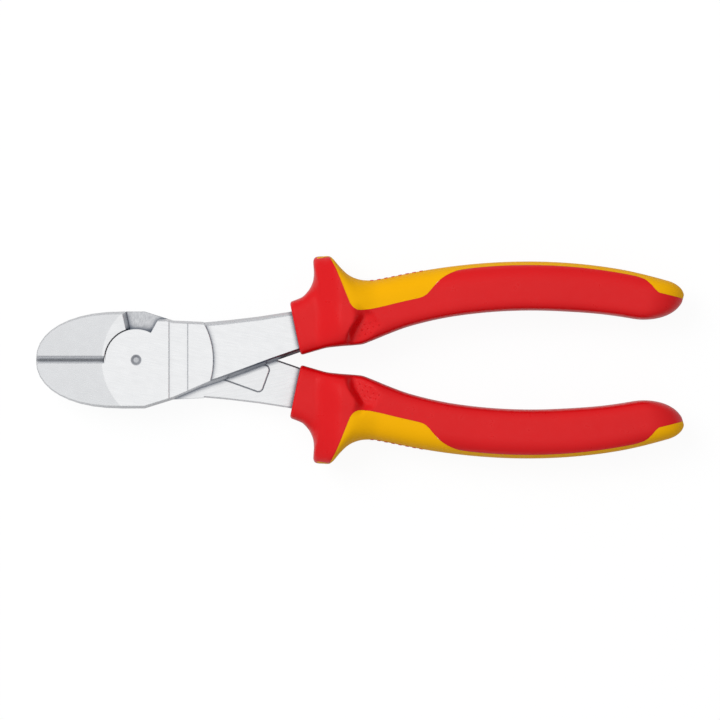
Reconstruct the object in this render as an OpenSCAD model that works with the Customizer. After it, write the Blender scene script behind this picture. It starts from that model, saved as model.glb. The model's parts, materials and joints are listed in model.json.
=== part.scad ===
// Diagonal cutting pliers with insulated two-colour grips, lying flat.
// Everything is modelled about the pivot: +X runs to the handles, +Z is the pivot axis, and the joint's
// sliding plane is z = 0. The rear half is the front half's forging turned over about X.

/* [Head] */
// Distance from the pivot to the jaw tips
jaw_reach = 28.1; // [24:0.1:34]
// Width across both jaws
head_width = 27.0; // [24:0.1:33]
// Thickness of the head
head_thickness = 11; // [9:0.1:14]
// Radius of the raised head about the pivot, where it steps down to the handles
head_radius = 21.4; // [18:0.1:26]
// Width of the head behind the joint, where the handles begin
shoulder_width = 22.0; // [18:0.1:26]
// Height of the step from the head's face down to the handle's face
step_depth = 0.9; // [0.3:0.1:2]
// How far the forged side walls lean in over half the thickness
forging_draft = 0.7; // [0.2:0.05:1.2]

/* [Cutting edges] */
// Angle at which the jaws' faces are ground down towards the tips
grind_angle = 10; // [4:0.5:13]
// Radius of the line where that ground face begins
grind_radius = 18.2; // [15:0.1:22]
// Distance of that line's centre behind the pivot
grind_offset = 8.7; // [6:0.1:12]
// Depth of the cutting edges below the front face
edge_depth = 1.0; // [0.5:0.1:2]
// Width of the upper edge's front bevel
upper_bevel = 1.2; // [0.6:0.05:2]
// Width of the lower edge's front bevel
lower_bevel = 0.95; // [0.6:0.05:2]
// Angle of each long bevel on the back of the jaws
back_bevel_angle = 20; // [12:1:30]
// Gap between the closed edges
edge_gap = 0.05; // [0.02:0.01:0.1]

/* [Joint] */
// Radius of each half's joint disc
disc_radius = 8.6; // [7.5:0.1:10.5]
// Gap between the disc and the jaw that curves round it
disc_gap = 0.3; // [0.1:0.05:0.5]
// Gap between the two sliding faces
lap_gap = 0.1; // [0.04:0.02:0.2]
// Radius of the axle forged on the front half
axle_radius = 4.5; // [3.5:0.1:5.5]
// Radial clearance of the axle in its bore
running_fit = 0.05; // [0.02:0.01:0.1]
// How much wider than the axle its riveted end is, on each side
rivet_flare = 1.0; // [0.5:0.1:1.5]
// Depth of the countersink that holds the riveted end
rivet_depth = 1.2; // [0.6:0.1:2]
// Angle of each half's stop shoulder from the tool's length
stop_angle = 61.6; // [55:0.2:68]
// Angle that the jaws turn before they meet the shoulders
opening_angle = 40.8; // [30:0.2:45]
// Lean of the end wall that the shoulder meets
stop_lean = 10; // [0:1:15]
// Diameter of the punch mark in the middle of the joint
punch_diameter = 3.0; // [2:0.1:4]
// Distance from the pivot to the first line of the recessed band
band_start = 9.1; // [7:0.1:11]
// Width of the recessed band
band_width = 5.3; // [3:0.1:7]
// Depth of the recessed band
band_depth = 0.2; // [0.1:0.05:0.4]
// How much higher than half the shoulder width the shoulder is beside the stop
stop_shoulder = 0.5; // [0.1:0.1:1]

/* [Stamped panel] */
// Distance from the pivot to the middle of the panel, along the tool
panel_x = 29.7; // [28:0.1:32]
// Distance from the middle of the panel to the tool's axis, on the handle's side
panel_y = -3.3; // [-4.5:0.1:-2.5]
// Angle between the panel and the tool's length
panel_turn = 19.9; // [16:0.1:24]
// Length of the panel
panel_length = 13; // [10:0.5:14]
// Width of the panel
panel_width = 7.4; // [6:0.1:8]
// Radius of the panel's corners
panel_corner = 1.2; // [0.5:0.1:2]
// Width of its stamped outline
panel_line = 0.3; // [0.2:0.05:0.6]
// Depth of its stamped outline
panel_depth = 0.2; // [0.1:0.05:0.4]

/* [Handles] */
// Angle between each handle and the tool's length
handle_angle = 15.8; // [13:0.1:18]
// Distance from the pivot to the front of the grips, along the tool
collar_x = 44; // [40:0.5:50]
// Distance of the handle's centre line from the middle at the collar
collar_y = 7.9; // [7.5:0.1:9.5]
// Length of the straight stretch of each handle behind the collar
straight_length = 26; // [20:1:32]
// Radius of the bend that brings the handles back towards each other
bend_radius = 150; // [120:1:180]
// Width of the steel where it enters the grip
waist_width = 11.6; // [9.6:0.1:12.4]
// Bevel along both sides of the handle's sliding face
lap_bevel = 0.5; // [0.2:0.05:0.8]
// Width of the tang's end
tang_width = 5.2; // [4:0.1:7]
// Thickness of the tang inside the grip
tang_thickness = 4.6; // [3.5:0.1:5.5]
// Length of grip beyond the end of the tang
tang_cover = 19; // [14:0.5:30]

/* [Grips] */
// Length of each grip along its centre line
grip_length = 109.6; // [90:0.2:132]
// Width of the grip's body, from the inner to the outer side
grip_width = 13.8; // [12.6:0.1:16.6]
// Thickness of the grip's body
grip_thickness = 16.4; // [14:0.1:20]
// Lean of the collar's front face, per millimetre out from the centre line
collar_lean = 0.07; // [0:0.01:0.12]
// Thickness of the collar at the front of the grip
collar_thickness = 13.0; // [12:0.1:16]
// Distance from the collar to the crest of the finger guard
guard_at = 15.4; // [13:0.1:19]
// Height of the finger guard above the grip's body
guard_rise = 11.5; // [6:0.1:14]
// Thickness across the finger guard
guard_thickness = 20.6; // [17:0.1:25]
// Wall of the outer moulding over the core
cover_wall = 1.6; // [1.2:0.1:2]
// Clearance between the core and the cover
moulding_fit = 0.04; // [0.02:0.01:0.1]
// Clearance between the steel and the grip
tang_fit = 0.05; // [0.02:0.01:0.15]

/* [Trim] */
// Number of inlaid bars on the back of each grip
inlay_count = 8; // [8:1:10]
// Distance from the collar to the first bar
inlay_at = 24.5; // [22:0.1:28]
// Distance between bars
inlay_pitch = 1.9; // [1.6:0.1:2.2]
// Width of a bar
inlay_width = 0.9; // [0.6:0.05:1.2]
// Length of a bar across the grip
inlay_length = 6; // [4:0.5:8]
// How far the bars stand proud
inlay_height = 0.1; // [0.1:0.05:0.5]
// Depth of the bars in the grip
inlay_depth = 0.8; // [0.5:0.1:1.1]
// Diameter of a dot in the thumb recess
dot_diameter = 0.5; // [0.4:0.05:0.8]
// Distance between the dots
dot_pitch = 1.5; // [1.2:0.1:1.8]

/* [Hidden] */
$fn = 96;
far = 60;                        // past every edge of the head
skin_sides = 24;                 // points round a section of the grip
core_sides = 16;                 // points round a section of the core
face_z = head_thickness / 2;
lap_z = lap_gap / 2;
handle_z = face_z - step_depth;
jaw_arc = disc_radius + disc_gap;
wall_angle = stop_angle + opening_angle;
lap_end = collar_x + 1.5;        // the sliding face runs just into the grip
half_w = grip_width / 2;
half_t = grip_thickness / 2;
tang_end = grip_length - tang_cover;
guard_half = guard_thickness / 2;
collar_half = collar_thickness / 2;
tail_n = 2.6;                    // the tail's rounding is drawn about this distance from the centre line
tail_inner = 12.5;               // length of the tail's rounding on the inner side
tail_outer = 5.5;                // length of the tail's rounding on the outer side
collar_edge = 0.7;               // rounding of the collar's front edge

// ---- Curves ---------------------------------------------------------------------------------------------

function ease(t) = let (u = min(max(t, 0), 1)) u * u * (3 - 2 * u);

// Slopes of column c of a table, limited so that the curve through its rows never overshoots
function chord(t, c, i) = (t[i + 1][c] - t[i][c]) / (t[i + 1][0] - t[i][0]);
function slope(t, c, i) =
    i == 0 ? chord(t, c, 0) :
    i == len(t) - 1 ? chord(t, c, i - 1) :
    let (a = chord(t, c, i - 1), b = chord(t, c, i)) a * b <= 0 ? 0 : 2 * a * b / (a + b);
function row_at(t, x, i = 0) = i >= len(t) - 2 || x < t[i + 1][0] ? i : row_at(t, x, i + 1);

// Value of column c at x, on a smooth curve through the table's rows
function smooth(t, c, x) =
    let (i = row_at(t, x), h = t[i + 1][0] - t[i][0], u = min(max((x - t[i][0]) / h, 0), 1))
    (1 + 2 * u) * (1 - u) * (1 - u) * t[i][c] + u * (1 - u) * (1 - u) * h * slope(t, c, i)
    + u * u * (3 - 2 * u) * t[i + 1][c] - u * u * (1 - u) * h * slope(t, c, i + 1);

// The handle's centre line: the point s along it and n out from it, n being positive on the outer side
function heading(s) = s < straight_length ? handle_angle : handle_angle - (s - straight_length) / bend_radius * 180 / PI;
function along(s) =
    let (run = min(s, straight_length), turn = heading(s))
    [collar_x + run * cos(handle_angle) + bend_radius * (sin(handle_angle) - sin(turn)),
     collar_y + run * sin(handle_angle) + bend_radius * (cos(turn) - cos(handle_angle))];
function at(s, n) = along(s) + n * [-sin(heading(s)), cos(heading(s))];

// ---- Solids ---------------------------------------------------------------------------------------------

// A closed solid through equal rings of points, with each end closed about the ring's middle; seen from its
// last end, each ring runs anticlockwise
module loft(rings) {
    count = len(rings[0]);
    last = len(rings) - 1;
    ends = [for (r = [rings[0], rings[last]]) [for (k = [0:2]) min([for (p = r) p[k]]) + max([for (p = r) p[k]])] / 2];
    first_end = count * len(rings);
    walls = [for (i = [0:last - 1], j = [0:count - 1]) let (a = i * count, b = a + count, k = (j + 1) % count)
        each [[a + j, b + j, b + k], [a + j, b + k, a + k]]];
    caps = [for (j = [0:count - 1]) let (k = (j + 1) % count)
        each [[first_end, j, k], [first_end + 1, last * count + k, last * count + j]]];
    polyhedron([for (r = rings) each r, each ends], concat(walls, caps));
}

// A wedge about the pivot, from one angle to another, through the whole thickness
module sector(from, to) {
    steps = ceil((to - from) / 60);
    translate([0, 0, -far])
        linear_extrude(2 * far)
            polygon([[0, 0], for (i = [0:steps]) let (a = from + (to - from) * i / steps) far * [cos(a), sin(a)]]);
}

// ---- Steel ----------------------------------------------------------------------------------------------

jaw_back = 4;                    // the jaws' outline is widest this far in front of the pivot
jaw_fullness = 2.2;              // 2 is an ellipse, more is squarer
cheek_x = 2.2;                   // end of the parallel stretch, behind the pivot
shoulder_x = 10.2;               // where the head has narrowed to shoulder_width

// Outer line of one jaw from its tip to where it is widest, a quarter of a full ellipse
function jaw_line(inset) = [for (a = [0:9:90])
    [-jaw_back - (jaw_reach - jaw_back - inset) * pow(cos(a), 2 / jaw_fullness),
     (head_width / 2 - inset) * pow(sin(a), 2 / jaw_fullness)]];

// Outline of the forging, from the tip along the upper jaw and back along the lower one; on the handle's side
// the shoulder is lower, and level beside the stop
function blank_line(inset) =
    let (top = jaw_line(inset), w = shoulder_width / 2 - inset, h = head_width / 2 - inset, last = len(top) - 1,
         level_x = shoulder_x - (shoulder_x - cheek_x) * stop_shoulder / (h - w))
    [each top, [cheek_x, h], [cheek_x + 2, w + stop_shoulder], [level_x, w + stop_shoulder], [shoulder_x, w],
     [head_radius + 2, w - 0.6],
     [head_radius + 2, inset - 5.3], [shoulder_x, -w], [cheek_x, -h],
     for (i = [last:-1:1]) [top[i][0], -top[i][1]]];

// The forged head: its side walls lean in from the parting line at z = 0
module blank() {
    over = 1.2;                  // drawn past the faces, which are then cut flat
    intersection() {
        loft([for (k = [over, 0, -over]) [for (p = blank_line(abs(k) * forging_draft)) [p[0], p[1], k * face_z]]]);
        union() {
            cylinder(h = head_thickness, r = head_radius, center = true);
            translate([-far, -far, -face_z])
                cube([far, 2 * far, head_thickness]);
        }
    }
}

// Cut that grinds the jaws' face down to a flat cone
module grind() {
    reach = jaw_reach + grind_offset + 1;
    drop = (reach - grind_radius) * tan(grind_angle);
    translate([grind_offset, 0, 0])
        rotate([0, 0, 90])
            rotate_extrude(angle = 180)
                polygon([[grind_radius, face_z], [reach, face_z - drop], [reach, face_z + 1], [grind_radius, face_z + 1]]);
}

// Forged below the sliding plane, and ground off with it as far as the collar
lap_stock = 0.3;
parting_height = 1.6;            // the handle is widest this far above its lower side

// Sections of the handle and its tang: [along, inner edge, outer edge, bottom, top]
handle_sections = [
    [-30, -7.8, 10.4, -lap_stock, handle_z],
    [-24, -7.6, 9.4, -lap_stock, handle_z],
    [-17, -7.1, 8.1, -lap_stock, handle_z],
    [-8.5, -6.4, 6.75, -lap_stock, handle_z],
    [0, -0.1 - waist_width / 2, -0.1 + waist_width / 2, -lap_stock, handle_z],
    [6, -0.1 - waist_width * 0.45, -0.1 + waist_width * 0.45, -lap_stock, handle_z],
    [14, -waist_width * 0.36, waist_width * 0.36, -tang_thickness / 2, tang_thickness / 2],
    [straight_length, -waist_width * 0.34, waist_width * 0.34, -tang_thickness / 2, tang_thickness / 2],
    [straight_length * 0.5 + tang_end * 0.5, -waist_width * 0.29, waist_width * 0.29,
        -tang_thickness / 2, tang_thickness / 2],
    [tang_end, -tang_width / 2, tang_width / 2, -tang_thickness / 2, tang_thickness / 2]];

// One section, grown all round by fit: the sides lean in from the parting line to both faces
function handle_ring(r, fit) =
    let (low = r[1] - fit, high = r[2] + fit, bottom = r[3] - fit, top = r[4] + fit, lean = forging_draft, edge = 0.4,
         parting = bottom + parting_height)
    [for (p = [[low + lap_bevel, bottom], [high - lap_bevel, bottom], [high, parting], [high - lean, top - edge],
               [high - lean - edge, top], [low + lean + edge, top], [low + lean, top - edge], [low, parting]])
        let (xy = at(r[0] + (r[0] == tang_end ? 2 * fit : 0), p[0])) [xy[0], xy[1], p[1]]];

// The handle with its tang, or, with a fit, the space that it takes in the grip
module handle(fit = 0) {
    loft([for (r = [for (q = handle_sections) if (fit == 0 || q[0] > -20) q]) handle_ring(r, fit)]);
}

// One forged half without its axle or bore: lower jaw, joint disc in front, upper handle
module forged_half() {
    difference() {
        union() {
            blank();
            handle();
        }
        // the other half's jaw and the room for it to turn; behind the joint disc nothing is left of it either
        difference() {
            union() {
                sector(stop_angle, 180);
                translate([-far, -edge_gap / 2, -far])
                    cube([far, 1, 2 * far]);
            }
            translate([0, 0, -2 * far])
                cylinder(h = 4 * far, r = disc_radius);
        }
        // the other half's disc and handle, behind; the jaw's end wall leans
        translate([0, 0, lap_z - far])
            cylinder(h = far, r = jaw_arc);
        translate([-far, -edge_gap / 2, lap_z - far])
            cube([far + lap_end, far, far]);
        intersection() {
            translate([-far, -far, lap_z - far])
                cube([far + lap_end, 2 * far, far]);
            rotate([0, 0, -wall_angle])
                rotate([-stop_lean, 0, 0])
                    translate([-far, 0, -far])
                        cube([2 * far, far, 2 * far]);
        }
        grind();
        mirror([0, 0, 1])
            grind();
        // recessed band across the head, and the punch mark
        translate([band_start, -far, face_z - band_depth])
            cube([band_width, 2 * far, far]);
        translate([0, 0, face_z - 0.5])
            cylinder(h = 1, r1 = punch_diameter / 4, r2 = punch_diameter * 3 / 4);
    }
}

// Bevels that form both cutting edges; the edges follow the ground front face
module edge_bevels() {
    tip = jaw_reach + 1;
    tip_z = face_z - edge_depth - (tip + grind_offset - grind_radius) * tan(grind_angle);
    front = 9;                   // the bevels are drawn this many times their size
    difference() {
        translate([-tip, 0, tip_z])
            rotate([0, -grind_angle, 0])
                rotate([90, 0, 90])
                    linear_extrude(tip)
                        union() {
                            polygon([[0, 0], front * [upper_bevel, edge_depth], front * [-lower_bevel, edge_depth]]);
                            polygon([[0, 0], far * [-tan(back_bevel_angle), -1], far * [tan(back_bevel_angle), -1]]);
                        }
        translate([0, 0, -far])
            cylinder(h = 2 * far, r = jaw_arc);
    }
}

// The axle, with its riveted end, or, with a fit, the bore and countersink that it turns in
module axle(fit = 0) {
    r = axle_radius + fit;
    translate([0, 0, -face_z - fit])
        cylinder(h = rivet_depth + 2 * fit, r1 = r + rivet_flare + fit, r2 = r);
    translate([0, 0, -face_z])
        cylinder(h = face_z + (fit == 0 ? handle_z / 2 : 0), r = r);
}

module front_half() {
    color([0.90, 0.91, 0.92]) place() {
        difference() {
            union() {
                forged_half();
                axle();
            }
            edge_bevels();
            translate([0, 0, -face_z - 0.5])
                cylinder(h = 1, r1 = punch_diameter * 3 / 4, r2 = punch_diameter / 4);
        }
    }
}

module rear_half() {
    color([0.84, 0.85, 0.87]) place() {
        difference() {
            rotate([180, 0, 0])
                forged_half();
            edge_bevels();
            axle(running_fit);
            panel_groove();
        }
    }
}

// Outline of a bare stamped panel, on the sliding face of the rear handle
module panel_groove() {
    translate([panel_x, panel_y, -lap_z - panel_depth])
        rotate([0, 0, -panel_turn])
            linear_extrude(far)
                difference() {
                    panel_shape(panel_line);
                    panel_shape(0);
                }
}

module panel_shape(grow) {
    r = panel_corner + grow;
    square([panel_length - 2 * panel_corner, panel_width + 2 * grow], center = true);
    square([panel_length + 2 * grow, panel_width - 2 * panel_corner], center = true);
    for (x = [-1, 1], y = [-1, 1])
        translate([x * (panel_length / 2 - panel_corner), y * (panel_width / 2 - panel_corner)])
            circle(r = r);
}

// ---- Grips ----------------------------------------------------------------------------------------------

// Sections of the grip: [along, outer edge, inner edge, half thickness and squareness on the outer side,
// half thickness and squareness on the inner side]; a squareness of 2 is an ellipse
grip_sections = [
    [0, half_w + 1.4, -half_w + 0.2, collar_half, 5, collar_half, 5],
    [guard_at - 11.4, half_w + 1.8, -half_w + 0.2, collar_half + 0.2, 5, collar_half + 0.2, 5],
    [guard_at - 9, half_w + guard_rise * 0.26, -half_w + 0.1, collar_half + 0.7, 5, collar_half + 0.8, 5],
    [guard_at - 6.8, half_w + guard_rise * 0.45, -half_w - 0.2,
        collar_half * 0.6 + guard_half * 0.4, 5, collar_half * 0.5 + guard_half * 0.5, 5],
    [guard_at - 5.7, half_w + guard_rise * 0.7, -half_w - 0.5,
        collar_half * 0.45 + guard_half * 0.55, 5, collar_half * 0.35 + guard_half * 0.65, 5],
    [guard_at - 5, half_w + guard_rise * 0.94, -half_w - 0.7,
        collar_half * 0.35 + guard_half * 0.65, 5, collar_half * 0.25 + guard_half * 0.75, 5],
    [guard_at - 4, half_w + guard_rise, -half_w - 0.9, collar_half * 0.25 + guard_half * 0.75, 5,
        collar_half * 0.15 + guard_half * 0.85, 5],
    [guard_at - 2.2, half_w + guard_rise - 0.2, -half_w - 1.2, guard_half - 0.9, 4.5, guard_half - 0.2, 5],
    [guard_at - 0.4, half_w + guard_rise - 0.9, -half_w - 1.5, guard_half - 0.5, 4.2, guard_half, 5],
    [guard_at + 1.2, half_w + guard_rise * 0.6, -half_w - 1.6, guard_half - 0.9, 3.7, guard_half - 1.1, 4.5],
    [guard_at + 2.9, half_w + guard_rise * 0.37, -half_w - 1.5, half_t + 0.5, 3.2, half_t - 0.9, 4],
    [guard_at + 4.8, half_w + guard_rise * 0.23, -half_w - 1.3, half_t - 0.3, 2.8, half_t - 1.3, 3.5],
    [guard_at + 8, half_w + guard_rise * 0.11, -half_w - 0.9, half_t - 0.4, 2.6, half_t - 1.0, 3.2],
    [guard_at + 14, half_w + 0.6, -half_w - 0.4, half_t - 0.1, 2.5, half_t - 0.2, 3.2],
    [guard_at + 22, half_w + 0.4, -half_w - 0.1, half_t, 2.4, half_t, 3.2],
    [guard_at + 40, half_w, -half_w, half_t, 2.4, half_t, 3.2],
    [grip_length - 19.6, half_w - 0.3, -half_w + 0.4, half_t - 0.3, 2.4, half_t - 0.3, 3.2],
    [grip_length - 5.6, half_w - 0.8, -half_w + 0.7, half_t - 0.7, 2.3, half_t - 0.7, 3]];

// How far the guard's crest bends along the grip: [out from the centre line, along]
crest_line = [[-9, -3.2], [-5, -2.2], [-0.5, 1.9], [3, 1.1], [10, 0], [18, 0]];
function bend(s, n) = smooth(crest_line, 1, n) * ease((s - 2) / 10) * (1 - ease((s - guard_at - 2) / 16));
function collar_turn(s, n) = collar_lean * (n + 4) * (1 - ease(s / 9));

// Half thickness at a place n out from the centre line, before the section's rounding
function half_thick(s, n) =
    let (share = ease((n + 2.5) / 6))
    smooth(grip_sections, 3, s) * share + smooth(grip_sections, 5, s) * (1 - share);

// Rounding of the tail: 1 at the start of the rounding, 0 at the end of the grip
function tail(s, length, reach) = let (u = max(0, s - (reach - length)) / length) sqrt(max(0, 1 - u * u));

// One section of the grip, pulled in by inset on every side
function grip_ring(s, inset, sides) =
    let (reach = grip_length - inset,
         edge = collar_edge - sqrt(max(0, pow(collar_edge, 2) - pow(max(0, collar_edge - s + inset), 2))),
         cut = inset + edge,
         out = tail_n + (smooth(grip_sections, 1, s) - cut - tail_n) * tail(s, tail_outer, reach),
         inn = tail_n + (smooth(grip_sections, 2, s) + cut - tail_n) * tail(s, tail_inner, reach),
         mid = (out + inn) / 2)
    [for (i = [0:sides - 1])
        let (a = 360 * (i + 0.5) / sides,
             power = 2 / smooth(grip_sections, cos(a) > 0 ? 4 : 6, s),
             n = mid + (out - inn) / 2 * sign(cos(a)) * pow(abs(cos(a)), power),
             thick = (half_thick(s, n) - cut) * tail(s, tail_inner * 0.8, reach),
             z = thick * sign(sin(a)) * pow(abs(sin(a)), power),
             xy = at(s + bend(s, n) + collar_turn(s, n), n))
        [xy[0], xy[1], z]];

// Where the sections are drawn: at each row of the table and between them, and round both ends by angle
function row_places(near, apart) = [
    for (i = [0:len(grip_sections) - 2])
        let (a = grip_sections[i][0], b = grip_sections[i + 1][0],
             count = ceil((b - a) / (b < guard_at + 9 ? near : apart)))
        for (k = [0:count - 1]) a + (b - a) * k / count];
function ring_places(inset, near = 2.5, apart = 8) =
    let (tail_start = grip_length - tail_inner)
    [for (a = [0:30:60]) inset + collar_edge * (1 - cos(a)),
     for (s = row_places(near, apart)) if (s > inset + collar_edge + 0.3 && s < tail_start - 1) s,
     for (a = [0:15:75]) tail_start + (tail_inner - inset) * sin(a),
     grip_length - inset - 0.08];

module grip_skin(inset = 0, near = 2.5, apart = 8, sides = skin_sides) {
    loft([for (s = ring_places(inset, near, apart)) grip_ring(s, inset, sides)]);
}

// Edge of the yellow back along the grip: [along, out from the centre line]
window_line = [
    [guard_at + 1, 3.4], [guard_at + 2.6, 1.1], [guard_at + 6, 0.3], [guard_at + 19, -0.1], [guard_at + 22, 0.7],
    [guard_at + 25.6, 3.6], [guard_at + 28.6, 5.1], [guard_at + 33, 5.7], [grip_length - 13.5, 5.3],
    [grip_length - 10, 4.0], [grip_length - 7, 2.3], [grip_length + 4, 2.3]];

// Everything on the outer side of that edge, through the whole thickness, with a strip along the guard's rim
module window(fit = 0) {
    first = window_line[0][0];
    last = window_line[len(window_line) - 1][0];
    rim = half_w + guard_rise - 1.1 + fit;
    translate([0, 0, -far / 2])
        linear_extrude(far)
            polygon([
                at(guard_at - 4.6 + fit, rim), at(guard_at - 1.3 + fit, rim),
                at(guard_at + 0.2 + fit, half_w + 3),
                for (i = [0:48]) let (s = first + (last - first) * i / 48)
                    at(s + (i == 0 ? fit : 0), smooth(window_line, 1, s) + fit),
                at(last, far / 2), at(guard_at - 4.6 + fit, far / 2)]);
}

// The inlaid bars, as prisms that stand out through the back of the grip
module inlay_prisms(fit = 0) {
    for (i = [0:inlay_count - 1]) {
        s = inlay_at + i * inlay_pitch;
        r = inlay_width / 2 + fit;
        xy = at(s, 0);
        translate([xy[0], xy[1], 0])
            rotate([0, 0, heading(s)])
                rotate([-90, 0, 0])
                    hull()
                        for (side = [-1, 1])
                            translate([0, side * (inlay_length - inlay_width) / 2, 0])
                                cylinder(h = far / 4, r = r, $fn = 12);
    }
}

module grip_core() {
    difference() {
        union() {
            grip_skin(cover_wall + moulding_fit, 3.5, 9, core_sides);
            intersection() {
                grip_skin();
                window(moulding_fit);
            }
        }
        difference() {
            inlay_prisms(moulding_fit);
            grip_skin(inlay_depth + moulding_fit);
        }
        handle(tang_fit);
    }
}

module grip_cover() {
    difference() {
        grip_skin();
        grip_skin(cover_wall, 3.5, 9, core_sides);
        window();
        handle(tang_fit);
    }
    thumb_dots();
}

// A small field of dots in the thumb recess, on both faces of the grip
module thumb_dots() {
    for (side = [-1, 1], i = [0:3], j = [0:2]) {
        s = guard_at + 5 + i * dot_pitch;
        n = -5.5 + j * dot_pitch + (i % 2) * dot_pitch / 2;
        xy = at(s, n);
        translate([xy[0], xy[1], side * (dot_ground(s, n) - 0.3)])
            hull() {
                cylinder(h = 0.6, r = dot_diameter / 2, center = true, $fn = 6);
                cylinder(h = 0.9, r = dot_diameter / 4, center = true, $fn = 6);
            }
    }
}

// Height of the grip's face at a place n out from the centre line
function dot_ground(place, n) =
    let (s = place - bend(place, n),
         out = smooth(grip_sections, 1, s), inn = smooth(grip_sections, 2, s), mid = (out + inn) / 2,
         u = min(1, abs(n - mid) / ((out - inn) / 2)), p = smooth(grip_sections, n > mid ? 4 : 6, s))
    half_thick(s, n) * pow(1 - pow(u, p), 1 / p);

module grip_inlays() {
    intersection() {
        inlay_prisms();
        difference() {
            grip_skin(-inlay_height);
            grip_skin(inlay_depth);
        }
    }
}

module upper_grip_core() {
    color([0.95, 0.69, 0.04]) place() grip_core();
}

module upper_grip_cover() {
    color([0.86, 0.11, 0.13]) place() grip_cover();
}

module upper_grip_inlays() {
    color([0.80, 0.08, 0.10]) place() grip_inlays();
}

module lower_grip_core() {
    color([0.95, 0.69, 0.04]) place() rotate([180, 0, 0]) grip_core();
}

module lower_grip_cover() {
    color([0.86, 0.11, 0.13]) place() rotate([180, 0, 0]) grip_cover();
}

module lower_grip_inlays() {
    color([0.80, 0.08, 0.10]) place() rotate([180, 0, 0]) grip_inlays();
}

// ---- Placing --------------------------------------------------------------------------------------------

// The middle of the tool's length is at x = 0, and its lowest point, on the guards, is at z = 0
tail_x = max([for (s = ring_places(0)) for (p = grip_ring(s, 0, skin_sides)) p[0]]);
rest_z = max([for (s = ring_places(0)) for (p = grip_ring(s, 0, skin_sides)) p[2]]);

module place() {
    translate([(jaw_reach - tail_x) / 2, 0, rest_z])
        children();
}

front_half();
rear_half();
upper_grip_core();
upper_grip_cover();
upper_grip_inlays();
lower_grip_core();
lower_grip_cover();
lower_grip_inlays();
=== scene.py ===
"""Diagonal cutting pliers: the finish of the steel, the two-colour grips, the light and the camera."""

import json
import math

import bmesh
import bpy
from mathutils import Matrix, Vector

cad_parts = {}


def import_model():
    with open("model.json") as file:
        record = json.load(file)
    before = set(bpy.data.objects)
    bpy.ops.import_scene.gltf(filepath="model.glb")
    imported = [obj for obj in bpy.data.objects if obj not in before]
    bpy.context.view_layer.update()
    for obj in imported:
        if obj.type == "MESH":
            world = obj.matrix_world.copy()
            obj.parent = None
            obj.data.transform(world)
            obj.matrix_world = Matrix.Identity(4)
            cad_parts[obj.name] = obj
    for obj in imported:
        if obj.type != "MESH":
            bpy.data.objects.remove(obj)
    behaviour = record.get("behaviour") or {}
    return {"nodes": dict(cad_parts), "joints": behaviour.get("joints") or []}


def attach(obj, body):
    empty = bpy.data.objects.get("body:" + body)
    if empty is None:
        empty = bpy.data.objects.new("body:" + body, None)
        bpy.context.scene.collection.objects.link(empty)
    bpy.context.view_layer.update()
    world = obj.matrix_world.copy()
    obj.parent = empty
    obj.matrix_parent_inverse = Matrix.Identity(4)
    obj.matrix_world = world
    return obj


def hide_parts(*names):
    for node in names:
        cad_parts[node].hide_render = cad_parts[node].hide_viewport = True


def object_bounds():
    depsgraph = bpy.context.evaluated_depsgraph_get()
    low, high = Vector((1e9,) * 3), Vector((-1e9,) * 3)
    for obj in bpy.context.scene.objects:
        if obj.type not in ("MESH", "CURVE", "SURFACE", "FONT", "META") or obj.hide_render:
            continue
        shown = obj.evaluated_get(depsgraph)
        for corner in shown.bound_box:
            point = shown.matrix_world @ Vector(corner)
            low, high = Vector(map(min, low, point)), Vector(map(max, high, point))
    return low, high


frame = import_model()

cad_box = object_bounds()
PIVOT = Vector(frame["joints"][0]["pos_m"])
MM = 0.001

# ---- Sizes of the grips, in millimetres, after the CAD source ---------------------------------------------------

HANDLE_ANGLE = math.radians(15.8)
COLLAR_X, COLLAR_Y = 44.0, 7.9
STRAIGHT, BEND = 26.0, 150.0
# 0.05 less than in the CAD, so that the rounder end stays inside the CAD's box
GRIP_LENGTH = 109.55
HALF_W, HALF_T = 6.9, 8.2
COLLAR_HALF, GUARD_HALF = 6.5, 10.2
GUARD_AT, GUARD_RISE = 15.4, 11.5
TAIL_N, TAIL_INNER, TAIL_OUTER = 2.6, 12.5, 5.5
COLLAR_EDGE, COLLAR_LEAN = 0.7, 0.07
INLAY_COUNT, INLAY_AT, INLAY_PITCH = 8, 24.5, 1.9
INLAY_WIDTH, INLAY_LENGTH, INLAY_HEIGHT = 0.9, 6.0, 0.1
DOT_PITCH, DOT_ROW_PITCH, DOT_RADIUS, DOT_SINK = 1.6, 1.35, 0.24, 0.03
CORE_SINK, CORE_GAP = 0.02, 0.03
STRIP_START, STRIP_END = GUARD_AT - 3.9, GUARD_AT - 0.5
RING_STEP, RING_SIDES = 0.4, 104
SHARP_ANGLE = math.radians(38)


# ---- Curves -----------------------------------------------------------------------------------------------------

def ease(t):
    """0 to 1, with no slope at either end."""
    u = min(max(t, 0.0), 1.0)
    return u * u * (3 - 2 * u)


def smooth(table, column, x):
    """Value of a column at x, on a curve through the table's rows that never overshoots them."""
    def chord(i):
        return (table[i + 1][column] - table[i][column]) / (table[i + 1][0] - table[i][0])

    def slope(i):
        if i == 0:
            return chord(0)
        if i == len(table) - 1:
            return chord(i - 1)
        a, b = chord(i - 1), chord(i)
        return 0.0 if a * b <= 0 else 2 * a * b / (a + b)

    i = 0
    while i < len(table) - 2 and x >= table[i + 1][0]:
        i += 1
    h = table[i + 1][0] - table[i][0]
    u = min(max((x - table[i][0]) / h, 0.0), 1.0)
    return ((1 + 2 * u) * (1 - u) ** 2 * table[i][column] + u * (1 - u) ** 2 * h * slope(i)
            + u * u * (3 - 2 * u) * table[i + 1][column] - u * u * (1 - u) * h * slope(i + 1))


def heading(s):
    """Direction of the handle's centre line at s: straight, and then bending back."""
    return HANDLE_ANGLE - max(0.0, s - STRAIGHT) / BEND


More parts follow.
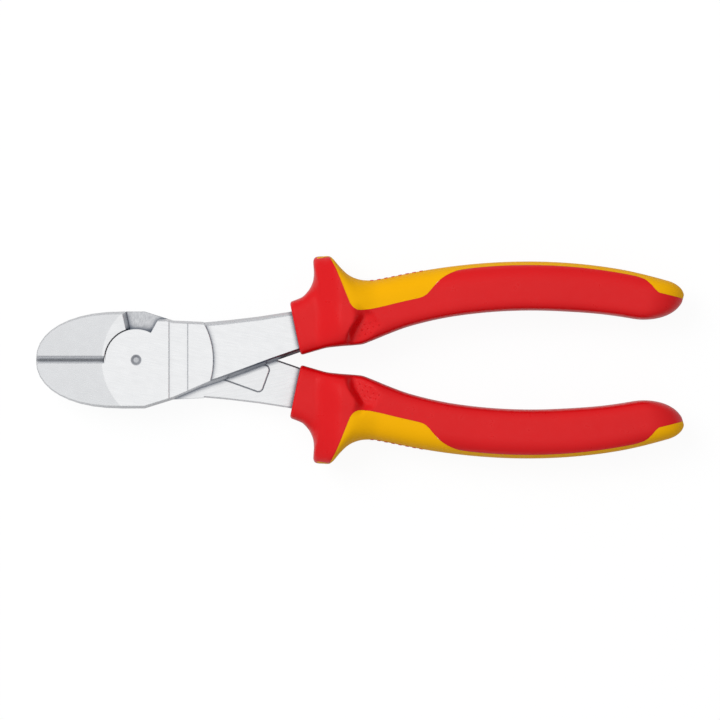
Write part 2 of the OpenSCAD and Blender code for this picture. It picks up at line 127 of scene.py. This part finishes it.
def at(s, n):
    """The point s along the handle's centre line and n out from it, about the pivot."""
    run, turn = min(s, STRAIGHT), heading(s)
    x = COLLAR_X + run * math.cos(HANDLE_ANGLE) + BEND * (math.sin(HANDLE_ANGLE) - math.sin(turn))
    y = COLLAR_Y + run * math.sin(HANDLE_ANGLE) + BEND * (math.cos(turn) - math.cos(HANDLE_ANGLE))
    return x - n * math.sin(turn), y + n * math.cos(turn)


# ---- The grip's surface -----------------------------------------------------------------------------------------

# Outer side: [along, out from the centre line]
OUTER = [
    [0, HALF_W + 1.4], [3.7, HALF_W + 1.75], [6.4, HALF_W + 3.0], [8.6, HALF_W + 5.2], [9.7, HALF_W + 8.0],
    [10.1, HALF_W + 10.2], [10.5, HALF_W + 11.1], [11.3, HALF_W + GUARD_RISE], [13.2, HALF_W + 11.15],
    [14.9, HALF_W + 10.7], [15.6, HALF_W + 9.9], [17.0, HALF_W + 6.9], [18.6, HALF_W + 4.3], [20.4, HALF_W + 2.7],
    [22.4, HALF_W + 1.65], [25.5, HALF_W + 0.85], [33, HALF_W + 0.4], [55, HALF_W],
    [GRIP_LENGTH - 19.6, HALF_W - 0.3], [GRIP_LENGTH - 5.6, HALF_W - 0.8]]
# Inner side: [along, in from the centre line]
INNER = [
    [0, HALF_W - 0.15], [6.3, HALF_W - 0.2], [10.7, HALF_W + 0.4], [15.2, HALF_W + 1.3], [17.3, HALF_W + 1.6],
    [19.7, HALF_W + 1.4], [24.5, HALF_W + 0.85], [31.8, HALF_W + 0.25], [45, HALF_W - 0.05], [75, HALF_W - 0.05],
    [GRIP_LENGTH - 19.6, HALF_W - 0.4], [GRIP_LENGTH - 5.6, HALF_W - 0.7]]
# Crest of the guard on the grip's faces: [out from the centre line, along]
CREST = [
    [-9, 11.6], [-7.1, 12.0], [-5, 13.0], [-2.5, 15.4], [-0.5, 17.0], [1.5, 16.7], [4, 16.4], [10, 16.2],
    [17.5, 15.4]]
# How far past the crest the thumb recess reaches: [out from the centre line, distance]
RECESS = [[-9, 6.0], [-7.7, 7.4], [-4.8, 10.0], [-2, 7.0], [0.4, 4.0], [3, 3.4]]
RECESS_DEPTH = 1.7
# How square the section is: [along, on the outer side, on the inner side]; 2 is an ellipse
SQUARE = [
    [0, 4.6, 5], [4.5, 4.2, 5], [7.5, 3.0, 5], [10.5, 2.9, 5], [12.5, 3.8, 5], [15.5, 4.8, 5], [19, 3.4, 5],
    [26, 2.8, 5.4], [45, 2.7, 5.6], [GRIP_LENGTH - 14, 3.2, 5.2], [GRIP_LENGTH, 2.8, 3.2]]


def thickness(s, n):
    """Half thickness of the grip, before its section rounds it off."""
    crest = smooth(CREST, 1, n)
    top = GUARD_HALF - 0.4 * ease((n + 2) / 6)
    front = COLLAR_HALF + (top - COLLAR_HALF) * ease((min(s, crest) - 0.28 * n - 5.5) / 8.5)
    if s < crest:
        return front
    # Past the crest the face falls gently on the outer side, and steeply into the thumb recess on the inner side.
    past = s - crest
    body = HALF_T - 0.5 * ease((s - 50) / 60)
    gentle = body + (front - body) * (1 - ease(past / 9))
    hollow = max(0, 1 - (past / smooth(RECESS, 1, n)) ** 2)
    bottom = body - RECESS_DEPTH * ease((n + 8.6) / 2.4) * hollow
    steep = bottom + (front - bottom) * (1 - ease(past / 3.4))
    outer_share = ease((n + 1.5) / 5)
    return gentle * outer_share + steep * (1 - outer_share)


def tail(s, length):
    """1 before the tail's rounding, falling as a quarter circle to 0 at the grip's end."""
    u = max(0.0, s - (GRIP_LENGTH - length)) / length
    return math.sqrt(max(0.0, 1 - u * u))


def section(s):
    """Points round the section at s, evenly spaced on a square-cornered oval: [-1 to 1 across, -1 to 1 up]."""
    sides = RING_SIDES
    dense = []
    for i in range(8 * sides):
        a = 2 * math.pi * (i + 0.5) / (8 * sides)
        c, d = math.cos(a), math.sin(a)
        power = 2 / smooth(SQUARE, 1 if c > 0 else 2, s)
        dense.append((math.copysign(abs(c) ** power, c), math.copysign(abs(d) ** power, d)))
    steps = [math.dist(dense[k - 1], dense[k]) for k in range(len(dense))]
    total, walked, points = sum(steps), 0.0, []
    for k, step in enumerate(steps):
        while step > 0 and len(points) < sides and walked + step >= (len(points) + 0.5) * total / sides:
            u = ((len(points) + 0.5) * total / sides - walked) / step
            a, b = dense[k - 1], dense[k]
            points.append((a[0] + (b[0] - a[0]) * u, a[1] + (b[1] - a[1]) * u))
        walked += step
    return points


def skin_ring(s, grow):
    """One section of the grip's surface, about the pivot. Near the guard the sections bend with its crest."""
    step = max(0.0, COLLAR_EDGE - s)
    cut = COLLAR_EDGE - math.sqrt(COLLAR_EDGE ** 2 - step ** 2) - grow
    follow = ease((s - 4) / 11) * (1 - ease((s - 18) / 14))
    lean = COLLAR_LEAN * (1 - ease(s / 9))

    def across(s, c):
        out = TAIL_N + (smooth(OUTER, 1, s) - cut - TAIL_N) * tail(s, TAIL_OUTER)
        inn = TAIL_N + (-smooth(INNER, 1, s) + cut - TAIL_N) * tail(s, TAIL_INNER)
        return (out + inn) / 2 + (out - inn) / 2 * c

    ring = []
    for c, d in section(s):
        along = s + (smooth(CREST, 1, across(s, c)) - GUARD_AT) * follow
        n = across(along, c)
        x, y = at(along + lean * (n + 4), n)
        ring.append((x, y, (thickness(along, n) - cut) * tail(s, TAIL_INNER * 0.8) * d))
    return ring


def ring_places():
    """Where the sections are drawn: close together over the guard, and by angle round both ends."""
    def even(a, b, step):
        count = math.ceil((b - a) / step)
        return [a + (b - a) * i / count for i in range(count)]

    tail_start = GRIP_LENGTH - TAIL_INNER
    return ([COLLAR_EDGE * (1 - math.cos(math.radians(a))) for a in range(0, 90, 15)]
            + even(COLLAR_EDGE, 24, RING_STEP) + even(24, 46, 3 * RING_STEP) + even(46, tail_start, 4 * RING_STEP)
            + [tail_start + TAIL_INNER * math.sin(math.radians(a)) for a in range(0, 84, 4)])


def join_rings(mesh, rings):
    """A wall of faces from each ring of points to the next."""
    for lower, upper in zip(rings, rings[1:]):
        for i in range(len(lower)):
            k = (i + 1) % len(lower)
            mesh.faces.new((lower[i], lower[k], upper[k], upper[i]))


def closed_skin(name, grow=0.0):
    """The whole grip as one closed mesh, in millimetres about the pivot."""
    mesh = bmesh.new()
    rings = [[mesh.verts.new(point) for point in skin_ring(s, grow)] for s in ring_places()]
    join_rings(mesh, rings)
    for ring, turn in ((rings[0], -1), (rings[-1], 1)):
        middle = mesh.verts.new(sum((v.co for v in ring), Vector()) / len(ring))
        for i in range(len(ring)):
            mesh.faces.new((ring[i], ring[(i + 1) % len(ring)], middle)[::turn])
    bmesh.ops.recalc_face_normals(mesh, faces=mesh.faces)
    return mesh_object(name, mesh)


def mesh_object(name, mesh):
    """An object in the scene made from a bmesh, which it frees."""
    data = bpy.data.meshes.new(name)
    mesh.to_mesh(data)
    mesh.free()
    piece = bpy.data.objects.new(name, data)
    bpy.context.scene.collection.objects.link(piece)
    return piece


# Edge of the yellow back: [along, out from the centre line]
WINDOW = [
    [GUARD_AT + 1.5, 3.4], [GUARD_AT + 2.1, 2.0], [GUARD_AT + 3.2, 1.0], [GUARD_AT + 4.8, 0.55], [GUARD_AT + 7, 0.2],
    [GUARD_AT + 12, -0.05], [GUARD_AT + 20, -0.15], [GUARD_AT + 21.6, 0.05], [GUARD_AT + 23, 0.7],
    [GUARD_AT + 24.6, 2.0], [GUARD_AT + 27.2, 3.9], [GUARD_AT + 29.6, 5.0], [GUARD_AT + 32.6, 5.65],
    [GUARD_AT + 36, 5.75], [GRIP_LENGTH - 15, 5.35], [GRIP_LENGTH - 12, 5.0], [GRIP_LENGTH - 9.8, 3.9],
    [GRIP_LENGTH - 8.2, 2.7], [GRIP_LENGTH - 7, 2.15], [GRIP_LENGTH - 4, 2.2], [GRIP_LENGTH + 4, 2.4]]
# The same edge on the back of the guard, from its rim down
GUARD_BACK = [[GUARD_AT + 0.3, 14], [GUARD_AT + 0.75, 10.5], [GUARD_AT + 1.1, 7]]
WINDOW_STEPS = 260
PAST_GRIP_N, PAST_GRIP_Z = 30, 16


def window_prism(name, shift):
    """Everything on the outer side of the yellow back's edge, with a strip along the guard's rim."""
    first, last = WINDOW[0][0], WINDOW[-1][0]
    rim = HALF_W + GUARD_RISE - 0.6 + shift
    outline = [at(STRIP_START + shift, rim), at(STRIP_END + shift, rim - 0.4)]
    outline += [at(s + shift, n) for s, n in GUARD_BACK]
    for i in range(WINDOW_STEPS + 1):
        s = first + (last - first) * i / WINDOW_STEPS
        outline.append(at(s + (shift if i == 0 else 0), smooth(WINDOW, 1, s) + shift))
    outline += [at(last, PAST_GRIP_N), at(STRIP_END + 0.1 + shift, PAST_GRIP_N),
                at(STRIP_END + shift, rim + 0.1 - shift), at(STRIP_START + shift, rim + 0.4 - 2 * shift)]
    return prism(name, outline, -PAST_GRIP_Z, PAST_GRIP_Z)


def prism(name, outline, low, high):
    """A flat outline, drawn out from one height to another."""
    mesh = bmesh.new()
    bottom = [mesh.verts.new((x, y, low)) for x, y in outline]
    top = [mesh.verts.new((x, y, high)) for x, y in outline]
    mesh.faces.new(bottom[::-1])
    mesh.faces.new(top)
    join_rings(mesh, [bottom, top])
    bmesh.ops.recalc_face_normals(mesh, faces=mesh.faces)
    return mesh_object(name, mesh)


def combine(piece, other, operation):
    """Applies a boolean with another object, and removes that object."""
    modifier = piece.modifiers.new("cut", "BOOLEAN")
    modifier.operation = operation
    modifier.solver = "EXACT"
    modifier.object = other
    bake_modifiers(piece)
    bpy.data.objects.remove(other)


def bake_modifiers(piece):
    """Replaces a piece's mesh with what its modifiers make of it."""
    graph = bpy.context.evaluated_depsgraph_get()
    graph.update()
    made = bpy.data.meshes.new_from_object(piece.evaluated_get(graph), depsgraph=graph)
    piece.modifiers.clear()
    piece.data = made


def place(piece, lower):
    """From millimetres about the pivot to the frame; the lower grip is the upper one turned over."""
    turn = Matrix.Rotation(math.pi, 4, "X") if lower else Matrix.Identity(4)
    piece.data.transform(Matrix.Translation(PIVOT) @ turn @ Matrix.Scale(MM, 4))


def soften(piece):
    """Smooth shading, broken at sharp edges."""
    for face in piece.data.polygons:
        face.use_smooth = True
    with bpy.context.temp_override(object=piece, active_object=piece, selected_objects=[piece],
                                   selected_editable_objects=[piece]):
        bpy.ops.object.shade_smooth_by_angle(angle=SHARP_ANGLE)


def inlay_bars(name):
    """The plain bars on the grip's back, following its surface and standing a little proud."""
    mesh = bmesh.new()
    radius, reach = INLAY_WIDTH / 2, INLAY_LENGTH / 2
    # Half of the bar's width, and the height over the back
    profile = [(-1, -0.5), (-1, INLAY_HEIGHT - 0.04), (-0.9, INLAY_HEIGHT),
               (0.9, INLAY_HEIGHT), (1, INLAY_HEIGHT - 0.04), (1, -0.5)]
    last = 11
    for i in range(INLAY_COUNT):
        s = INLAY_AT + i * INLAY_PITCH
        rings = []
        for k in range(-last, last + 1):
            z = reach * math.sin(math.pi / 2 * k / last) * 0.995
            half = radius * math.sqrt(1 - (max(0.0, abs(z) - reach + radius) / radius) ** 2)
            ring = []
            for side, height in profile:
                u = s + side * half
                ring.append(mesh.verts.new((*at(u, back_height(u, z) + height), z)))
            rings.append(ring)
        join_rings(mesh, rings)
        mesh.faces.new(rings[0][::-1])
        mesh.faces.new(rings[-1])
    bmesh.ops.recalc_face_normals(mesh, faces=mesh.faces)
    return mesh_object(name, mesh)


def back_height(s, z):
    """How far out the grip's back is at a place z from its middle."""
    out, inn = smooth(OUTER, 1, s), -smooth(INNER, 1, s)
    mid = (out + inn) / 2
    square = smooth(SQUARE, 1, s)
    n = out
    for _ in range(4):
        n = mid + (out - mid) * (1 - min(1, abs(z) / thickness(s, n)) ** square) ** (1 / square)
    return n


def thumb_dots(name):
    """Fine raised dots in the thumb recess, on both faces of the grip."""
    mesh = bmesh.new()
    flat = Matrix.Diagonal((1, 1, 0.8, 1))
    for i in range(5):
        for j in range(3):
            s, n = GUARD_AT + 0.6 + i * DOT_PITCH + 0.5 * j, -3.3 - j * DOT_ROW_PITCH
            crest = smooth(CREST, 1, n)
            if s > crest + smooth(RECESS, 1, n) or s < crest + 2.0:
                continue
            for side in (-1, 1):
                spot = Matrix.Translation((*at(s, n), side * (face_height(s, n) - DOT_SINK)))
                shape = bmesh.ops.create_uvsphere(mesh, u_segments=10, v_segments=6, radius=DOT_RADIUS)
                bmesh.ops.transform(mesh, verts=shape["verts"], matrix=spot @ flat)
    return mesh_object(name, mesh)


def face_height(s, n):
    """Height of the grip's face at a place n out from its centre line."""
    out, inn = smooth(OUTER, 1, s), -smooth(INNER, 1, s)
    mid = (out + inn) / 2
    square = smooth(SQUARE, 1 if n > mid else 2, s)
    u = min(1, abs(n - mid) / ((out - inn) / 2))
    return thickness(s, n) * (1 - u ** square) ** (1 / square)


# ---- Materials --------------------------------------------------------------------------------------------------

def new_material(name, colour, roughness, metallic=0.0):
    """A node material and its nodes, with the plain values set on the shader's own sockets."""
    material = bpy.data.materials.new(name)
    material.use_nodes = True
    nodes, links = material.node_tree.nodes, material.node_tree.links
    shader = nodes["Principled BSDF"]
    shader.inputs["Base Color"].default_value = (*colour, 1)
    shader.inputs["Roughness"].default_value = roughness
    shader.inputs["Metallic"].default_value = metallic
    return material, nodes, links, shader


def noise(nodes, links, scale, detail):
    """Noise in the object's own coordinates."""
    place_node = nodes.new("ShaderNodeTexCoord")
    texture = nodes.new("ShaderNodeTexNoise")
    texture.inputs["Scale"].default_value = scale
    texture.inputs["Detail"].default_value = detail
    links.new(place_node.outputs["Object"], texture.inputs["Vector"])
    return texture.outputs["Fac"]


def between(nodes, links, factor, low, high, start=0.3, end=0.7):
    """A value that goes from low to high as the factor goes from start to end."""
    ramp = nodes.new("ShaderNodeMapRange")
    ramp.inputs["From Min"].default_value = start
    ramp.inputs["From Max"].default_value = end
    ramp.inputs["To Min"].default_value = low
    ramp.inputs["To Max"].default_value = high
    links.new(factor, ramp.inputs["Value"])
    return ramp.outputs["Result"]


def bump(nodes, links, shader, height, distance, strength, rounding=0.0):
    """Fine relief, over edges that are shaded as if rounded a little."""
    node = nodes.new("ShaderNodeBump")
    if rounding:
        edge = nodes.new("ShaderNodeBevel")
        edge.samples = 4
        edge.inputs["Radius"].default_value = rounding
        links.new(edge.outputs["Normal"], node.inputs["Normal"])
    node.inputs["Distance"].default_value = distance
    node.inputs["Strength"].default_value = strength
    links.new(height, node.inputs["Height"])
    links.new(node.outputs["Normal"], shader.inputs["Normal"])


def mixed(nodes, links, factor, first, second):
    """A colour between two, by a factor. Each colour is a socket or a constant."""
    node = nodes.new("ShaderNodeMix")
    node.data_type = "RGBA"
    links.new(factor, node.inputs[0])
    for socket, colour in ((node.inputs[6], first), (node.inputs[7], second)):
        if isinstance(colour, tuple):
            socket.default_value = (*colour, 1)
        else:
            links.new(colour, socket)
    return node.outputs[2]


def plastic(name, colour, darker, roughness, shine):
    """Moulded grip plastic: faint mottling, and a fine spark-eroded grain."""
    material, nodes, links, shader = new_material(name, colour, roughness)
    shader.inputs["IOR"].default_value = 1.49
    shader.inputs["Specular IOR Level"].default_value = shine
    mottle = noise(nodes, links, 60, 4)
    links.new(mixed(nodes, links, between(nodes, links, mottle, 0, 1), colour, darker), shader.inputs["Base Color"])
    grain = noise(nodes, links, 5200, 2)
    links.new(between(nodes, links, noise(nodes, links, 420, 3), roughness - 0.05, roughness + 0.06),
              shader.inputs["Roughness"])
    bump(nodes, links, shader, grain, 0.00002, 0.35)
    return material


def streaks(nodes, links, vector, scale, stretch, angle):
    """Noise drawn out along one direction, in given coordinates."""
    turn = nodes.new("ShaderNodeMapping")
    turn.inputs["Rotation"].default_value = (0, 0, math.radians(angle))
    squeeze = nodes.new("ShaderNodeMapping")
    squeeze.inputs["Scale"].default_value = (stretch, 1, 1)
    texture = nodes.new("ShaderNodeTexNoise")
    texture.inputs["Scale"].default_value = scale
    texture.inputs["Detail"].default_value = 4
    links.new(vector, turn.inputs["Vector"])
    links.new(turn.outputs["Vector"], squeeze.inputs["Vector"])
    links.new(squeeze.outputs["Vector"], texture.inputs["Vector"])
    return texture.outputs["Fac"]


def math_node(nodes, links, operation, first, second):
    """The result of a Math node. Each value is a socket or a float."""
    node = nodes.new("ShaderNodeMath")
    node.operation = operation
    for socket, value in zip(node.inputs, (first, second)):
        if isinstance(value, float):
            socket.default_value = value
        else:
            links.new(value, socket)
    return node.outputs[0]


# Where the sliding plane is cut and not plated, and where the axle's dimple is coloured grey like it, in metres
# about the pivot, from fully in to not in
CUT_DISC, GREY_DIMPLE = (0.0150, 0.0152), (0.0013, 0.0015)
BELOW_FACE, ON_PLANE = (0.00542, 0.00548), (0.0002, 0.0003)


def machined_ring(nodes, links, vector):
    """1 on the sliding plane near the axle and in the axle's dimple, and strokes that run out from the axle."""
    centred = nodes.new("ShaderNodeVectorMath")
    centred.operation = "SUBTRACT"
    centred.inputs[1].default_value = PIVOT
    links.new(vector, centred.inputs[0])
    axes = nodes.new("ShaderNodeSeparateXYZ")
    links.new(centred.outputs[0], axes.inputs[0])
    x, y, z = axes.outputs
    x_squared = math_node(nodes, links, "MULTIPLY", x, x)
    y_squared = math_node(nodes, links, "MULTIPLY", y, y)
    reach = math_node(nodes, links, "SQRT", math_node(nodes, links, "ADD", x_squared, y_squared), 0.0)
    in_disc = between(nodes, links, reach, 1.0, 0.0, *CUT_DISC)
    in_dimple = between(nodes, links, reach, 1.0, 0.0, *GREY_DIMPLE)
    below_face = between(nodes, links, z, 1.0, 0.0, *BELOW_FACE)
    level = between(nodes, links, math_node(nodes, links, "ABSOLUTE", z, 0.0), 1.0, 0.0, *ON_PLANE)
    plane = math_node(nodes, links, "MULTIPLY", in_disc, level)
    dimple = math_node(nodes, links, "MULTIPLY", in_dimple, below_face)
    polar = nodes.new("ShaderNodeCombineXYZ")
    links.new(math_node(nodes, links, "ARCTAN2", y, x), polar.inputs[0])
    links.new(math_node(nodes, links, "MULTIPLY", reach, 30.0), polar.inputs[1])
    strokes = nodes.new("ShaderNodeTexNoise")
    strokes.inputs["Scale"].default_value = 26
    strokes.inputs["Detail"].default_value = 4
    links.new(polar.outputs[0], strokes.inputs["Vector"])
    return math_node(nodes, links, "MAXIMUM", plane, dimple), strokes.outputs["Fac"]


def openness(nodes, distance):
    """1 on open faces, less in grooves and gaps narrower than the distance."""
    node = nodes.new("ShaderNodeAmbientOcclusion")
    node.samples = 8
    node.inputs["Distance"].default_value = distance
    return node.outputs["AO"]


def painted_wall_shade(nodes, links, vector, direction, facing):
    """How much painted shade darkens the walls against the faces; most on the handle's wall that faces the other
    handle.
    """
    normal = nodes.new("ShaderNodeSeparateXYZ")
    links.new(direction, normal.inputs[0])
    place_at = nodes.new("ShaderNodeSeparateXYZ")
    links.new(vector, place_at.inputs[0])
    inward = math_node(nodes, links, "MULTIPLY", normal.outputs["Y"], float(facing))
    on_wall = between(nodes, links, inward, 0, 1, 0.35, 0.6)
    on_handle = between(nodes, links, place_at.outputs["X"], 0.2, 1, PIVOT.x + 0.012, PIVOT.x + 0.034)
    inner = math_node(nodes, links, "MULTIPLY", on_wall, on_handle)
    # Painted shade on every upright wall as well
    upright = math_node(nodes, links, "ABSOLUTE", normal.outputs["Z"], 0.0)
    return math_node(nodes, links, "MAXIMUM", inner, between(nodes, links, upright, 0.3, 0, 0.3, 0.65))


# Painted shade colour for recesses and walls, and the two colours of the strokes on the cut sliding plane and in the
# axle's dimple
# Painted shade: the steel's base colour goes towards this grey in grooves, in gaps and on walls
PAINTED_SHADE_STEEL = (0.13, 0.15, 0.19)
CUT_STEEL = (0.52, 0.53, 0.55), (0.72, 0.73, 0.75)
STEEL_ROUGHNESS, STEEL_GRAIN = 0.27, 0.03
# In metres: how far the painted shade of a groove and of a gap reaches
GROOVE_REACH, GAP_REACH = 0.0016, 0.004


def steel(name, colour, grain_angle, facing):
    """Satin chrome plate over ground steel: fine grinding lines, cloudiness, and painted shade in recesses and on
    walls.
    """
    material, nodes, links, shader = new_material(name, colour, STEEL_ROUGHNESS, 1.0)
    place_node = nodes.new("ShaderNodeTexCoord")
    vector = place_node.outputs["Object"]
    lines = streaks(nodes, links, vector, 3500, 0.06, grain_angle)
    cloud = noise(nodes, links, 400, 5)
    dim = tuple(c * 0.97 for c in colour)
    plated = mixed(nodes, links, between(nodes, links, cloud, 0, 1), colour, dim)
    ring, strokes = machined_ring(nodes, links, vector)
    cut = mixed(nodes, links, between(nodes, links, strokes, 0, 1), *CUT_STEEL)
    faces = mixed(nodes, links, ring, plated, cut)
    # Painted shade: ambient occlusion darkens the base colour in grooves and in the gaps between parts
    narrow = between(nodes, links, openness(nodes, GROOVE_REACH), 0, 1, 0.5, 0.92)
    wide = between(nodes, links, openness(nodes, GAP_REACH), 0.6, 1, 0.3, 0.65)
    open_face = math_node(nodes, links, "MULTIPLY", narrow, wide)
    # Painted shade on the walls, darkest on the handle's wall that faces the other handle
    shade = painted_wall_shade(nodes, links, vector, place_node.outputs["Normal"], facing)
    lit = math_node(nodes, links, "SUBTRACT", open_face, shade)
    links.new(mixed(nodes, links, lit, PAINTED_SHADE_STEEL, faces), shader.inputs["Base Color"])
    gloss = between(nodes, links, lines, STEEL_ROUGHNESS - 0.04, STEEL_ROUGHNESS + 0.06)
    links.new(gloss, shader.inputs["Roughness"])
    bump(nodes, links, shader, lines, 0.00001, STEEL_GRAIN, 0.00028)
    return material


RED = plastic("red_cover", (0.645, 0.002, 0.004), (0.615, 0.001, 0.003), 0.32, 0.34)
YELLOW = plastic("yellow_core", (0.83, 0.405, 0.001), (0.81, 0.39, 0.001), 0.5, 0.06)
INLAY = plastic("red_inlay", (0.60, 0.004, 0.008), (0.57, 0.003, 0.006), 0.4, 0.28)
STEEL_FRONT = steel("front_steel", (0.925, 0.93, 0.94), 12, -1)
STEEL_REAR = steel("rear_steel", (0.90, 0.905, 0.915), -12, 1)


# ---- Pieces -----------------------------------------------------------------------------------------------------

def give(piece, material, body):
    """Puts one material on a piece, and the piece on its body."""
    piece.data.materials.clear()
    piece.data.materials.append(material)
    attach(piece, body)


def grip(side, body):
    """The three mouldings of one grip, in place of its CAD nodes."""
    lower = side == "lower"
    cover = closed_skin(side + "_cover_shell")
    combine(cover, window_prism("cut", 0.0), "DIFFERENCE")
    core = closed_skin(side + "_core_back", grow=-CORE_SINK)
    combine(core, window_prism("cut", CORE_GAP), "INTERSECT")
    bars = inlay_bars(side + "_inlay_bars")
    dots = thumb_dots(side + "_thumb_dots")
    for piece in (cover, core, bars, dots):
        place(piece, lower)
        soften(piece)
    give(cover, RED, body)
    give(dots, RED, body)
    give(core, YELLOW, body)
    give(bars, INLAY, body)
    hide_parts(side + "_grip_cover")
    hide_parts(side + "_grip_core")
    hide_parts(side + "_grip_inlays")


grip("upper", "front")
grip("lower", "rear")

for name, material in (("front_half", STEEL_FRONT), ("rear_half", STEEL_REAR)):
    node = frame["nodes"][name]
    node.data.materials.clear()
    node.data.materials.append(material)


# ---- Floor, light and camera ------------------------------------------------------------------------------------

FLOOR_COLOUR = (0.62, 0.62, 0.62)
# Light of the studio by height: [sine of the height above the horizon, red, green, blue]
STUDIO = [
    [0.0, 0.34, 0.35, 0.37], [1.0, 0.96, 0.96, 0.965], [0.4, 0.46, 0.465, 0.49], [0.8, 0.62, 0.63, 0.65],
    [0.93, 0.80, 0.805, 0.81]]
# How much brighter the studio is towards one side
STUDIO_TILT = (-0.12, 0.1, 0)
# Share of the floor that the camera sees as plain white; the rest takes the shadow
FLOOR_GLOW = 0.93
VIEW_WIDTH = 0.2005
CAMERA_HEIGHT = 1.6
SENSOR = 36.0


def ray_mix(tree, lit, seen, weights):
    """The shader that light meets, mixed with another one by how much each kind of ray sees of it."""
    nodes, links = tree.nodes, tree.links
    path = nodes.new("ShaderNodeLightPath")
    shares = [math_node(nodes, links, "MULTIPLY", path.outputs[ray], weight) for ray, weight in weights.items()]
    total = shares[0]
    for share in shares[1:]:
        total = math_node(nodes, links, "MAXIMUM", total, share)
    mix = nodes.new("ShaderNodeMixShader")
    links.new(total, mix.inputs[0])
    links.new(lit, mix.inputs[1])
    links.new(seen, mix.inputs[2])
    return mix.outputs[0]


def floor():
    """Grey to the light, and to the camera white with a trace of the shadow."""
    mesh = bmesh.new()
    bmesh.ops.create_grid(mesh, x_segments=1, y_segments=1, size=3)
    plane = mesh_object("floor", mesh)
    plane.location.z = cad_box[0].z - 0.0002
    material, nodes, links, shader = new_material("floor", FLOOR_COLOUR, 0.9)
    shader.inputs["Specular IOR Level"].default_value = 0.0
    paper = nodes.new("ShaderNodeBsdfDiffuse")
    paper.inputs["Color"].default_value = (1, 1, 1, 1)
    glow = nodes.new("ShaderNodeEmission")
    glow.inputs["Strength"].default_value = 1.0
    seen = nodes.new("ShaderNodeMixShader")
    seen.inputs[0].default_value = FLOOR_GLOW
    links.new(paper.outputs[0], seen.inputs[1])
    links.new(glow.outputs[0], seen.inputs[2])
    links.new(ray_mix(material.node_tree, shader.outputs[0], seen.outputs[0],
                      {"Is Camera Ray": 1.0, "Is Transmission Ray": 1.0, "Is Glossy Ray": 0.2}),
              nodes["Material Output"].inputs["Surface"])
    plane.data.materials.append(material)


def lamp(name, place_at, size, power):
    """A soft lamp aimed at the origin, which metal doesn't mirror."""
    light = bpy.data.lights.new(name, "AREA")
    light.shape = "RECTANGLE"
    light.size, light.size_y = size
    light.energy = power
    thing = bpy.data.objects.new(name, light)
    bpy.context.scene.collection.objects.link(thing)
    thing.location = place_at
    thing.rotation_euler = (-Vector(place_at)).to_track_quat("-Z", "Y").to_euler()
    thing.visible_glossy = False


def world():
    """A studio: a bright ceiling that falls off to dark walls, and white where the camera looks past the floor."""
    scene_world = bpy.data.worlds.new("studio")
    bpy.context.scene.world = scene_world
    scene_world.use_nodes = True
    tree = scene_world.node_tree
    nodes, links = tree.nodes, tree.links
    direction = nodes.new("ShaderNodeTexCoord")
    axes = nodes.new("ShaderNodeSeparateXYZ")
    links.new(direction.outputs["Generated"], axes.inputs[0])
    ceiling = nodes.new("ShaderNodeValToRGB")
    ceiling.color_ramp.interpolation = "EASE"
    points = ceiling.color_ramp.elements
    stops = [points[0], points[1]] + [points.new(0.5) for _ in STUDIO[2:]]
    for (position, *colour), point in zip(STUDIO, stops):
        point.position = position
        point.color = (*colour, 1)
    links.new(axes.outputs["Z"], ceiling.inputs["Fac"])
    aside = nodes.new("ShaderNodeVectorMath")
    aside.operation = "DOT_PRODUCT"
    aside.inputs[1].default_value = STUDIO_TILT
    links.new(direction.outputs["Generated"], aside.inputs[0])
    lit = nodes["Background"]
    links.new(ceiling.outputs["Color"], lit.inputs["Color"])
    links.new(math_node(nodes, links, "ADD", aside.outputs["Value"], 1.0), lit.inputs["Strength"])
    seen = nodes.new("ShaderNodeBackground")
    seen.inputs["Strength"].default_value = 1.0
    seen.inputs["Color"].default_value = (1, 1, 1, 1)
    links.new(ray_mix(tree, lit.outputs[0], seen.outputs[0], {"Is Camera Ray": 1.0, "Is Transmission Ray": 1.0}),
              nodes["World Output"].inputs["Surface"])


def camera():
    """Straight above the middle of the CAD's box, with a view a little wider than the tool."""
    data = bpy.data.cameras.new("camera")
    data.sensor_width = SENSOR
    data.lens = SENSOR * CAMERA_HEIGHT / VIEW_WIDTH
    data.clip_end = 20
    thing = bpy.data.objects.new("camera", data)
    bpy.context.scene.collection.objects.link(thing)
    middle = (cad_box[0] + cad_box[1]) / 2
    thing.location = (middle.x, middle.y, middle.z + CAMERA_HEIGHT)
    bpy.context.scene.camera = thing


floor()
world()
lamp("key", (-0.5, 0.35, 0.92), (0.6, 0.6), 7.6)
camera()
bpy.context.scene.view_settings.view_transform = "Standard"
